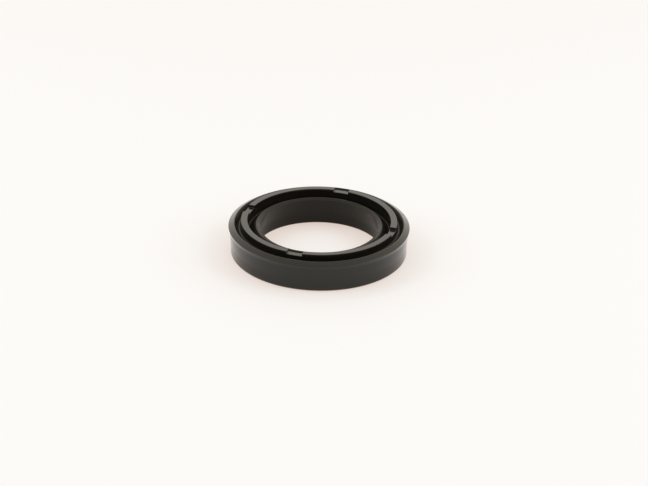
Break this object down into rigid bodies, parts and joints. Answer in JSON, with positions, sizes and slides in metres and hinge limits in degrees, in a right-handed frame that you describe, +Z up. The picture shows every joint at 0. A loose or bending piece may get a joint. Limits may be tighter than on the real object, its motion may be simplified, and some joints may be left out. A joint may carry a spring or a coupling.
{
  "type": "hydraulic piston lip seal",
  "caption": "Moulded black rubber piston seal: a ring with an outer and an inner bevelled sealing lip and a taller notched rib between them, on a flat heel.",
  "frame": {"origin": "centre of the ring on the flat heel face that it lies on", "axes": "+Z up along the axis of the ring, from the heel to the lips; +X and +Y through the middles of two notches"},
  "size_m": [0.0642, 0.0642, 0.0121],
  "materials": {
    "black_rubber": "satin, moulded"
  },
  "bodies": {
    "root": {"seal_ring": "black_rubber"}
  },
  "joints": []
}
